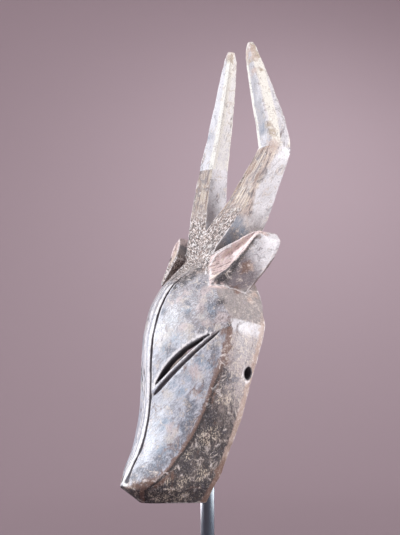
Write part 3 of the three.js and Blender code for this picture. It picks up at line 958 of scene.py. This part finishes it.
# Painted highlight: a pale line along the eye's upper lip.
upper_lip_highlight = band(eye_gap, 0.9 * MM, 2.6 * MM, 0.5 * MM) * above_eye
lower_lip = band(eye_gap, 0.8 * MM, 1.6 * MM, 0.4 * MM) * (1 - above_eye)
nose_lip = band(to_nose, 2.9 * MM, 4.8 * MM, 0.6 * MM) * (place.out_x < 6.2 * MM)
nose_lip = nose_lip * step_down(place.z, 0.290, 0.304)
lip = np.maximum.reduce([1.6 * upper_lip_highlight, 1.6 * lower_lip, nose_lip]) * face_skin * (1 - cut_wall)
root_line = 0.5 * band(to_valley, -1, 0.9 * MM, 0.6 * MM) * band(place.z, 0.284, 0.299, 2 * MM)
root_line = root_line * (place.out_x > 0.037)

HOLE = (-0.2 * MM, 214.5 * MM)
HOLE_HALF = (4.6 * MM, 5.9 * MM)
hole_ring = np.hypot((place.y - HOLE[0]) / HOLE_HALF[0], (place.z - HOLE[1]) / HOLE_HALF[1])
hole_wall = step_down(hole_ring, 1.0, 1.12) * (place.out_x > 0.04)
low_front = HOLE[0] - place.y + 0.6 * (HOLE[1] - place.z)
# Painted highlight: a pale ring round the tie hole's lower front.
hole_rim_highlight = band(hole_ring, 1.16, 1.42, 0.08) * place.side * step_up(low_front, -2 * MM, 4 * MM)
groove = np.maximum(cut_wall, hole_wall)
print("points in the cuts:", int((groove > 0.5).sum()))

# %% Horns: streaked in front, pale behind, ivory above the bend, with painted shade at the near horn's root
lower_horn = place.horn * (1 - place.upper_horn)
horn_side = lower_horn * (1 - place.front)
# Painted shade: the pale coat is thinned low on the near horn's side, where it meets the head.
horn_root_shade = horn_side * step_down(place.z, 0.345, 0.385) * near_half
stain_width = np.interp(place.z, (0.37, 0.40, 0.42), (9, 12, 17)) * MM
horn_stain = 0.85 * step_down(place.behind_front / stain_width, 0.4, 1) * near_half
horn_stain = horn_stain * step_up(place.z, 0.354, 0.366)
turned_left = step_up(place.n[:, 0], 0, 0.2)
horn_edge = place.upper_horn * step_down(to_ridge, 0.5 * MM, 2.5 * MM) * turned_left * near_half
far_inner = 0.5 * step_up(place.n[:, 0], 0.1, 0.3) * far_half
far_outer = step_up(-place.n[:, 0], 0.3, 0.6) * far_half
far_horn = np.maximum(lower_horn * place.front * far_half, 0.5 * place.upper_horn * far_outer)
horn_grey = 1.3 * (1 - place.corner) * step_up(-place.n[:, 1], 0.8, 0.95) * near_half
horn_grey = np.maximum(horn_grey * step_up(place.z, 0.434, 0.446), far_outer)
print("horn points:", int((place.horn > 0.5).sum()))

# %% Arrises: rubbed bare and painted as highlights, less where hands or the light don't reach them
nose_top = band(place.z, 0.298, 0.325, 3 * MM) * (place.out_x < 0.024) * (place.y < 0)
muzzle_tip = (place.y < -55 * MM) * step_down(place.z, 0.122, 0.13)
low_rim = rim * step_down(place.z, 0.18, 0.24)
arris = step_down(to_ridge, 0.5 * MM, 1.4 * MM) * step_up(lid_gap, 2 * MM, 3 * MM)
spared = [0.6 * place.ear, 0.6 * low_rim, 0.7 * muzzle_tip]
spared += [nose_top, lip_shade, 0.85 * place.horn * turned_left]
for share in spared:
    arris = arris * (1 - share)

# %% Weigh the coats
pits = np.maximum(patches(place, "pits"), far_pits)
crown_front = np.maximum(place.crown * place.front, pits) * step_down(place.z, *PITS_END)
edge_rust = np.maximum(crease, patches(place, "rust")) * (1 - place.crown)
coats = {name: patches(place, name) for name in PLAIN_PATCHES}
coats |= {
    "polish": place.face,
    "cool": place.face * (step_down(place.z, 0.225, 0.262) + 0.6 * (place.out_x < 12 * MM)),
    "worn": place.side * (1 - 0.8 * low_down) * (1 - 0.7 * shoulder),
    # The pale coat also holds the painted highlight just under the shoulder.
    "pale": place.upper_horn + horn_side * (1 - 0.45 * horn_root_shade) + side_highlight_band + outer_ear * ear_tip,
    # The dull coat is partly painted shade, above the shoulder under the ears.
    "dull": place.side * shoulder + place.crown * (1 - lower_horn),
    "ear": outer_ear,
    "blue": patches(place, "blue") + 0.65 * beside_crease,
    # Real smoke, and painted shade under the ears' lower lips.
    "smoke_and_shade": smoke_and_shade,
    # Stains, and painted shade under the ears' lips and in the notch at an ear's root.
    "dark": patches(place, "dark") + 2.2 * lip_shade + 0.3 * horn_edge,
    "rust": edge_rust + rim * step_down(place.z, 0.130, 0.148),
    "tan": np.maximum(rim, patches(place, "tan")),
    "crease_line": crease_line,
    "grey": place.upper_horn * horn_grey,
    "ivory": place.upper_horn * np.maximum(place.corner, far_inner),
    "streak": lower_horn * np.maximum(place.front, horn_stain),
    "far_horn": far_horn,
    "ear_opening": inner_ear * (1 - lip_shade) * (1 - pits * far_half),
    "pitted": crown_front * (1 - inner_ear * near_half),
    "arris": arris,
    "lip": np.maximum.reduce([lip, hole_rim_highlight, root_line]),
    "low_edge": low_edge,
}
print("coats:", ", ".join(f"{name} {values.mean():.2f}" for name, values in coats.items()))

# %% Store every coat


def store(mesh, name, values):
    attribute = mesh.attributes.new(name, "FLOAT", "POINT")
    attribute.data.foreach_set("value", np.clip(values, 0, 1).astype(np.float32))


for name, values in coats.items():
    store(mask.data, name, values * place.outside)
store(mask.data, "groove", groove)
store(mask.data, "inside", place.inside)
grain_attribute = mask.data.attributes.new("grain", "FLOAT_VECTOR", "POINT")
grain_attribute.data.foreach_set("vector", grain_places(place, inner_ear > 0.5).astype(np.float32).ravel())
print("stored:", len(mask.data.attributes), "attributes")

# %% [markdown]
# ## Materials
#
# A material here is a chain of mixes: each coat lies over the last, and its own number, roughened by
# noise, says where. Small helper functions keep such a chain readable.

# %% Node helpers


class Finish:
    """A material with short calls for the nodes that it is made of."""

    def __init__(self, name, places=None):
        self.material = material(name)
        self.nodes = self.material.node_tree.nodes
        self.links = self.material.node_tree.links
        self.surface = self.nodes["Principled BSDF"]
        if places:
            attribute = self.nodes.new("ShaderNodeAttribute")
            attribute.attribute_name = places
            self.where = attribute.outputs["Vector"]
        else:
            self.where = self.nodes.new("ShaderNodeTexCoord").outputs["Object"]

    def put(self, socket, value):
        """Feeds a socket from another node, or sets its colour or number."""
        if isinstance(value, bpy.types.NodeSocket):
            self.links.new(value, socket)
        elif socket.type == "RGBA":
            socket.default_value = (*value[:3], 1)
        else:
            socket.default_value = value

    def grain(self, size, stretch=(1, 1, 1), turn=(0, 0, 0), detail=3.0, roughness=0.6, distortion=0.0):
        """Noise from 0 to 1 that changes over about this size, in metres."""
        mapping = self.nodes.new("ShaderNodeMapping")
        mapping.vector_type = "TEXTURE"
        self.links.new(self.where, mapping.inputs["Vector"])
        mapping.inputs["Rotation"].default_value = [math.radians(a) for a in turn]
        mapping.inputs["Scale"].default_value = stretch
        made = self.nodes.new("ShaderNodeTexNoise")
        self.links.new(mapping.outputs["Vector"], made.inputs["Vector"])
        made.inputs["Scale"].default_value = 1 / size
        made.inputs["Detail"].default_value = detail
        made.inputs["Roughness"].default_value = roughness
        made.inputs["Distortion"].default_value = distortion
        return made.outputs["Fac"]

    def number(self, name):
        """A number that is stored on the mesh's points."""
        made = self.nodes.new("ShaderNodeAttribute")
        made.attribute_name = name
        return made.outputs["Fac"]

    def calc(self, operation, a, b=0.0):
        made = self.nodes.new("ShaderNodeMath")
        made.operation = operation
        self.put(made.inputs[0], a)
        self.put(made.inputs[1], b)
        return made.outputs[0]

    def between(self, value, low, high, to_low=0.0, to_high=1.0):
        """value from low to high, spread over to_low to to_high and kept inside them."""
        made = self.nodes.new("ShaderNodeMapRange")
        for name, number in (("Value", value), ("From Min", low), ("From Max", high)):
            self.put(made.inputs[name], number)
        made.inputs["To Min"].default_value = to_low
        made.inputs["To Max"].default_value = to_high
        return made.outputs["Result"]

    def over(self, below, above, amount):
        """The colour below with the colour above laid over it."""
        made = self.nodes.new("ShaderNodeMix")
        made.data_type = "RGBA"
        self.put(made.inputs["Factor"], amount)
        self.put(made.inputs[6], below)
        self.put(made.inputs[7], above)
        return made.outputs[2]

    def times(self, a, b):
        return self.calc("MULTIPLY", a, b)

    def blend_number(self, below, above, amount):
        """The number below with the number above taking over as amount goes to 1."""
        return self.calc("ADD", below, self.times(self.calc("SUBTRACT", above, below), amount))

    def bump(self, height, depth, strength=1.0):
        made = self.nodes.new("ShaderNodeBump")
        made.inputs["Strength"].default_value = strength
        made.inputs["Distance"].default_value = depth
        self.links.new(height, made.inputs["Height"])
        self.links.new(made.outputs["Normal"], self.surface.inputs["Normal"])


# %% [markdown]
# ## The wood of the mask
#
# Looked at closely, a smoked and handled wood is never one colour. So each paint is flecked with a few
# others, where one of nine noises is high or low. A coat of it then lies where its stored number says,
# with a border that a noise has made ragged. The coats follow the order in which they came about on
# the real object: wood, rubbing, smoke and weather, and last the edges and cuts. Painted shade goes in
# with the dull, smoke and dark coats, and painted highlights with the pale coat and the edges.

# %% Paints
WOOD = (0.19, 0.142, 0.122)
WOOD_PALE = (0.43, 0.35, 0.31)
WOOD_DARK = (0.07, 0.052, 0.048)
FACE_WARM = (0.29, 0.26, 0.265)
FACE_COOL = (0.40, 0.41, 0.46)
FACE_LIGHT = (0.55, 0.56, 0.61)
SIDE = (0.385, 0.33, 0.325)
SIDE_GREY = (0.27, 0.25, 0.27)
BLUE_GREY = (0.105, 0.115, 0.145)
PURPLE_GREY = (0.09, 0.08, 0.097)
PINK = (0.55, 0.445, 0.43)
PALE = (0.60, 0.585, 0.60)
PALE_GREY = (0.31, 0.30, 0.315)
DULL = (0.22, 0.205, 0.205)
EAR_GREY = (0.18, 0.155, 0.165)
EAR_PINK = (0.67, 0.52, 0.50)
SMOKE = (0.055, 0.047, 0.050)
SMOKE_DARK = (0.022, 0.018, 0.020)
CREAM = (0.66, 0.57, 0.45)
RUST = (0.165, 0.092, 0.066)
TAN = (0.45, 0.335, 0.275)
IVORY = (0.70, 0.675, 0.61)
OCHRE = (0.31, 0.23, 0.145)
SKY = (0.20, 0.27, 0.35)
HORN_BLUE = (0.18, 0.215, 0.27)
STAIN = (0.29, 0.195, 0.145)
WARM = (0.62, 0.55, 0.47)
WHITE = (0.78, 0.75, 0.74)
CUT_DARK = (0.10, 0.096, 0.106)

# %% Noises, flecks and coats


class CoatedWood(Finish):
    """A finish with nine noises, whose paints are flecked and lie over each other as coats."""

    def __init__(self, name):
        super().__init__(name, places="grain")
        self.noises = {
            "fine": self.grain(1.0 * MM, (1, 1, 1.5), detail=2.0, roughness=0.7),
            "specks": self.grain(1.6 * MM, (1, 1, 1.6), (0, 30, 0), detail=2.5, roughness=0.7),
            "mottle": self.grain(7 * MM, detail=7.0, roughness=0.72, distortion=0.8),
            "patchy": self.grain(12 * MM, (1, 1, 1.8), (0, 25, 10), 8.0, roughness=0.74, distortion=1.2),
            "broad": self.grain(26 * MM, detail=3.0),
            "along": self.grain(1.9 * MM, (1, 1, 14), detail=4.0),
            "scratch": self.grain(1.0 * MM, (1, 1, 12), (0, 48, 20), detail=4.0, roughness=0.7),
            "strokes": self.grain(1.1 * MM, (1, 1, 2.6), (0, 35, 0), detail=3.0, roughness=0.75),
            "sweep": self.grain(3.0 * MM, (1, 1, 7), (0, 48, 20), detail=5.0, roughness=0.7),
        }

    def ragged(self, coat, noise, spread, edge):
        """Where a coat lies, from 0 to 1, with its border broken up by a noise."""
        lift = self.times(self.calc("SUBTRACT", self.noises[noise], 0.5), 2 * spread)
        return self.between(self.calc("ADD", self.number(coat), lift), 0.5 - edge, 0.5 + edge)

    def flecked(self, paint, *flecks):
        """A paint with flecks of others: paint, noise, from where it shows to where it is full, share."""
        for above, noise, start, full, share in flecks:
            amount = self.times(self.between(self.noises[noise], start, full), share)
            paint = self.over(paint, above, amount)
        return paint

    def coated(self, paint, *coats):
        """A paint under coats: paint, stored number, noise, the noise's spread, soft edge, share."""
        for above, coat, noise, spread, edge, share in coats:
            paint = self.over(paint, above, self.times(self.ragged(coat, noise, spread, edge), share))
        return paint


# %% Bare wood and the worn side wall


def worn_wood(finish):
    wood = finish.flecked(WOOD_DARK, (WOOD, "along", 0.3, 0.6, 1), (WOOD_PALE, "mottle", 0.46, 0.66, 1))
    dull = finish.flecked(DULL, (WOOD_PALE, "patchy", 0.45, 0.7, 1))
    side = finish.flecked(
        SIDE,
        (SIDE_GREY, "patchy", 0.46, 0.62, 1),
        (CREAM, "specks", 0.52, 0.6, 0.6),
        (PURPLE_GREY, "strokes", 0.47, 0.38, 0.6),
    )
    # The dull coat is partly painted shade, on the side wall above the shoulder.
    colour = finish.over(wood, dull, finish.times(finish.number("dull"), 0.85))
    return finish.coated(colour, (side, "worn", "mottle", 0.8, 0.3, 1))


# %% The rubbed face


def rubbed_face(finish, colour):
    face = finish.coated(FACE_WARM, (FACE_COOL, "cool", "patchy", 0.9, 0.4, 1))
    face = finish.flecked(
        face,
        (BLUE_GREY, "patchy", 0.5, 0.6, 0.6),
        (BLUE_GREY, "sweep", 0.5, 0.62, 0.5),
        (FACE_LIGHT, "scratch", 0.5, 0.6, 0.75),
        (PURPLE_GREY, "scratch", 0.46, 0.38, 0.55),
    )
    face = finish.coated(
        face,
        (FACE_LIGHT, "light", "mottle", 1.2, 0.45, 0.8),
        (WARM, "warm", "sweep", 2.0, 0.35, 0.6),
        (SKY, "sky", "sweep", 2.0, 0.35, 0.65),
    )
    blue = finish.flecked(
        BLUE_GREY,
        (PURPLE_GREY, "mottle", 0.45, 0.6, 1),
        (SMOKE, "specks", 0.5, 0.62, 0.7),
        (FACE_LIGHT, "strokes", 0.54, 0.62, 0.5),
    )
    # The blue coat's patches at the near horn's root are painted shade.
    return finish.coated(
        colour,
        (face, "polish", "mottle", 0.8, 0.35, 1),
        (blue, "blue", "patchy", 2.6, 0.2, 0.75),
        (PINK, "pink", "patchy", 2.6, 0.2, 0.65),
    )


# %% The ears and the horns


def ears_and_horns(finish, colour):
    ear = finish.flecked(EAR_GREY, (EAR_PINK, "mottle", 0.52, 0.7, 0.3))
    pale = finish.flecked(
        PALE,
        (PALE_GREY, "broad", 0.48, 0.65, 0.35),
        (PALE_GREY, "patchy", 0.5, 0.7, 0.6),
        (PINK, "along", 0.56, 0.7, 0.4),
    )
    streaks = finish.flecked(
        TAN,
        (WOOD_PALE, "along", 0.44, 0.5, 1),
        (STAIN, "broad", 0.46, 0.54, 0.8),
        (WOOD_DARK, "along", 0.43, 0.38, 1),
        (CREAM, "along", 0.53, 0.58, 1),
        (PURPLE_GREY, "patchy", 0.5, 0.58, 0.6),
    )
    ivory = finish.flecked(IVORY, (OCHRE, "mottle", 0.62, 0.75, 1))
    colour = finish.over(colour, ear, finish.number("ear"))
    # The pale coat holds a painted highlight under the shoulder, and is thinned as painted shade at the
    # near horn's root.
    colour = finish.coated(
        colour,
        (pale, "pale", "mottle", 0.5, 0.4, 1),
        (streaks, "streak", "patchy", 0.7, 0.3, 0.95),
    )
    colour = finish.over(colour, WOOD, finish.times(finish.number("far_horn"), 0.45))
    # The horn_blue coat's patches at the horn's root are painted shade.
    return finish.coated(
        colour,
        (PALE_GREY, "grey", "patchy", 1.8, 0.4, 0.75),
        (ivory, "ivory", "mottle", 1.0, 0.3, 1),
        (OCHRE, "ochre", "mottle", 2.0, 0.3, 0.75),
        (HORN_BLUE, "horn_blue", "patchy", 1.6, 0.35, 0.75),
    )


# %% Smoke with painted shade, pits and the cream left in the hollows of the grain


def smoke_weather_and_shade(finish, colour):
    smoke_and_shade = finish.flecked(SMOKE, (SMOKE_DARK, "patchy", 0.42, 0.6, 1), (WOOD, "mottle", 0.5, 0.64, 0.6))
    weathered = finish.flecked(TAN, (WOOD, "mottle", 0.45, 0.53, 1))
    dark = finish.flecked(SMOKE_DARK, (PURPLE_GREY, "specks", 0.46, 0.6, 0.7))
    smoke_and_shade_cover = finish.ragged("smoke_and_shade", "patchy", 1.3, 0.3)
    pitted = finish.ragged("pitted", "mottle", 0.6, 0.3)
    clusters = finish.ragged("cream", "mottle", 2.4, 0.3)
    colour = finish.over(colour, smoke_and_shade, finish.times(smoke_and_shade_cover, 0.93))
    colour = finish.over(colour, weathered, finish.times(pitted, 0.9))
    colour = finish.flecked(
        colour,
        (SMOKE_DARK, "specks", 0.5, 0.46, finish.times(pitted, 0.85)),
        (WHITE, "specks", 0.55, 0.6, finish.times(pitted, 0.9)),
    )
    # The dark coat: stains, and painted shade under the ears' lips and at an ear's root.
    colour = finish.coated(colour, (dark, "dark", "mottle", 2.4, 0.2, 0.88))
    return finish.flecked(
        colour,
        (CREAM, "strokes", 0.5, 0.56, clusters),
        (CREAM, "strokes", 0.6, 0.66, finish.times(smoke_and_shade_cover, 0.45)),
    )


# %% Edges, cuts and the raw hollow


def edges_and_cuts(finish, colour):
    rust = finish.flecked(RUST, (TAN, "mottle", 0.54, 0.64, 1))
    opening = finish.flecked(EAR_PINK, (WOOD, "along", 0.48, 0.4, 0.8), (CREAM, "along", 0.53, 0.6, 0.6))
    raw = finish.flecked(WOOD_DARK, (WOOD_PALE, "along", 0.3, 0.75, 1))
    colour = finish.coated(
        colour,
        (TAN, "tan", "mottle", 1.8, 0.3, 0.75),
        (rust, "rust", "patchy", 1.8, 0.25, 0.85),
        (SMOKE_DARK, "crease_line", "mottle", 0.6, 0.35, 0.92),
    )
    colour = finish.over(colour, opening, finish.number("ear_opening"))
    # The arris and lip coats are partly painted highlights: along the arrises, the eye's upper lip and the
    # tie hole's lower rim.
    colour = finish.coated(
        colour,
        (CREAM, "low_edge", "mottle", 0.8, 0.3, 0.75),
        (WHITE, "arris", "mottle", 1.6, 0.3, 0.7),
        (WHITE, "lip", "mottle", 0.9, 0.4, 0.9),
    )
    colour = finish.flecked(colour, (WHITE, "fine", 0.56, 0.68, 0.22), (SMOKE, "fine", 0.45, 0.33, 0.4))
    # The walls of the cuts get near-black paint, painted shade in the eye slit and the tie hole.
    colour = finish.over(colour, CUT_DARK, finish.number("groove"))
    beside_cuts = finish.calc("SUBTRACT", 1.0, finish.number("groove"))
    return finish.over(colour, raw, finish.times(finish.number("inside"), beside_cuts))


# %% Put the wood together
# How rough the wood is under each coat. A later one goes over an earlier one.
ROUGHNESS = {
    "smoke_and_shade": 0.8, "pitted": 0.75, "streak": 0.6, "blue": 0.62, "dark": 0.78, "dull": 0.66, "rust": 0.7,
    "crease_line": 0.8, "inside": 0.7, "groove": 0.9,
}
RUBBED_ROUGHNESS = (0.26, 0.46)
WOOD_SHEEN = 0.62
GRAIN_DEPTH = 0.4 * MM


def mask_wood():
    finish = CoatedWood("mask_wood")
    colour = worn_wood(finish)
    for coats_over in (rubbed_face, ears_and_horns, smoke_weather_and_shade, edges_and_cuts):
        colour = coats_over(finish, colour)
    gloss = finish.between(finish.noises["mottle"], 0.3, 0.7, *RUBBED_ROUGHNESS)
    for coat, rough in ROUGHNESS.items():
        gloss = finish.blend_number(gloss, rough, finish.number(coat))
    finish.put(finish.surface.inputs["Base Color"], colour)
    finish.put(finish.surface.inputs["Roughness"], gloss)
    finish.surface.inputs["Specular IOR Level"].default_value = WOOD_SHEEN
    fine, scratch, along = (finish.noises[name] for name in ("fine", "scratch", "along"))
    lengthwise = finish.calc("ADD", finish.times(scratch, 0.7), finish.times(along, 0.7))
    height = finish.calc("ADD", finish.times(fine, 0.8), lengthwise)
    finish.bump(height, GRAIN_DEPTH, 0.6)
    return finish.material


mask.data.materials.clear()
mask.data.materials.append(mask_wood())
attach(mask, "root")
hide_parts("mask")
print("wood:", len(mask.data.materials[0].node_tree.nodes), "nodes")

# %% [markdown]
# ## The stand's rod
#
# The rod is a drawn bar. It is turned afresh with many sides and small chamfers, so that light runs
# down it in clean bands, and its steel has faint lengthwise streaks. Two wide lamps that light nothing
# else stand at its left and right and make the bands.

# %% Rod
ROD_SIDES = 64
ROD_CHAMFER = 0.6 * MM


def round_bar(name, node):
    low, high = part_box(node)
    bm = bmesh.new()
    radius = (high.x - low.x) / 2
    bmesh.ops.create_cone(
        bm, cap_ends=True, segments=ROD_SIDES, radius1=radius, radius2=radius, depth=high.z - low.z
    )
    ends = [e for e in bm.edges if abs(e.verts[0].co.z - e.verts[1].co.z) < 1e-6]
    bmesh.ops.bevel(
        bm,
        geom=ends,
        offset=ROD_CHAMFER,
        offset_type="OFFSET",
        segments=2,
        profile=0.5,
        affect="EDGES",
        material=-1,
    )
    bmesh.ops.translate(bm, verts=bm.verts, vec=(low + high) / 2)
    mesh = bpy.data.meshes.new(name)
    bm.to_mesh(mesh)
    bm.free()
    mesh.shade_smooth()
    return add_object(name, mesh)


ROD_BLUE = (0.035, 0.052, 0.075)
ROD_PALE = (0.06, 0.085, 0.11)
ROD_DARK = (0.03, 0.034, 0.04)


def rod_steel():
    finish = Finish("rod_steel")
    streaks = finish.grain(1.2 * MM, (1, 1, 60), detail=3.0)
    cloud = finish.grain(24 * MM, (1, 1, 2), detail=3.0)
    colour = finish.over(ROD_BLUE, ROD_PALE, finish.between(cloud, 0.35, 0.65))
    colour = finish.over(colour, ROD_DARK, finish.between(streaks, 0.55, 0.8))
    finish.put(finish.surface.inputs["Base Color"], colour)
    finish.put(finish.surface.inputs["Roughness"], finish.between(streaks, 0.3, 0.7, 0.24, 0.42))
    finish.surface.inputs["Metallic"].default_value = 0.6
    finish.surface.inputs["Coat Weight"].default_value = 1.0
    finish.surface.inputs["Coat Roughness"].default_value = 0.2
    finish.surface.inputs["Coat IOR"].default_value = 1.9
    finish.bump(streaks, 0.05 * MM, 0.3)
    return finish.material


rod = round_bar("rod", "stand_rod")
rod.data.materials.append(rod_steel())
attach(rod, "root")
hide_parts("stand_rod")
print("rod:", len(rod.data.polygons), "faces")

# %% The rod's lamps
ROD_SHOWN = Vector((0, 0, 85)) * MM
for name, turn, width, radiance, colour in (
    ("rod_left", -60, 1.0, 6.2, (0.97, 0.94, 1.0)),
    ("rod_right", 150, 0.9, 5.8, (0.9, 0.96, 1.0)),
):
    linked(window(name, (turn, 0), 0.5, (width, 0.5), radiance, colour, ROD_SHOWN), rod, "INCLUDE")

# %% [markdown]
# ## The stand's foot
#
# A flat plate needs no new shape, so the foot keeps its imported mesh. Its steel is blackened, with a
# slight cloud in the colour and a fine tooth that keeps it from shining.

# %% Foot
FOOT_DARK = (0.022, 0.022, 0.024)
FOOT_GREY = (0.05, 0.05, 0.053)


def foot_steel():
    finish = Finish("foot_steel")
    cloud = finish.grain(18 * MM, detail=4.0)
    tooth = finish.grain(0.8 * MM, detail=2.0)
    colour = finish.over(FOOT_DARK, FOOT_GREY, finish.between(cloud, 0.4, 0.65))
    finish.put(finish.surface.inputs["Base Color"], colour)
    finish.put(finish.surface.inputs["Roughness"], finish.between(cloud, 0.3, 0.7, 0.42, 0.58))
    finish.bump(tooth, 0.06 * MM, 0.35)
    return finish.material


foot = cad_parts["stand_foot"]
foot.data.materials.clear()
foot.data.materials.append(foot_steel())
print("foot:", foot.name)
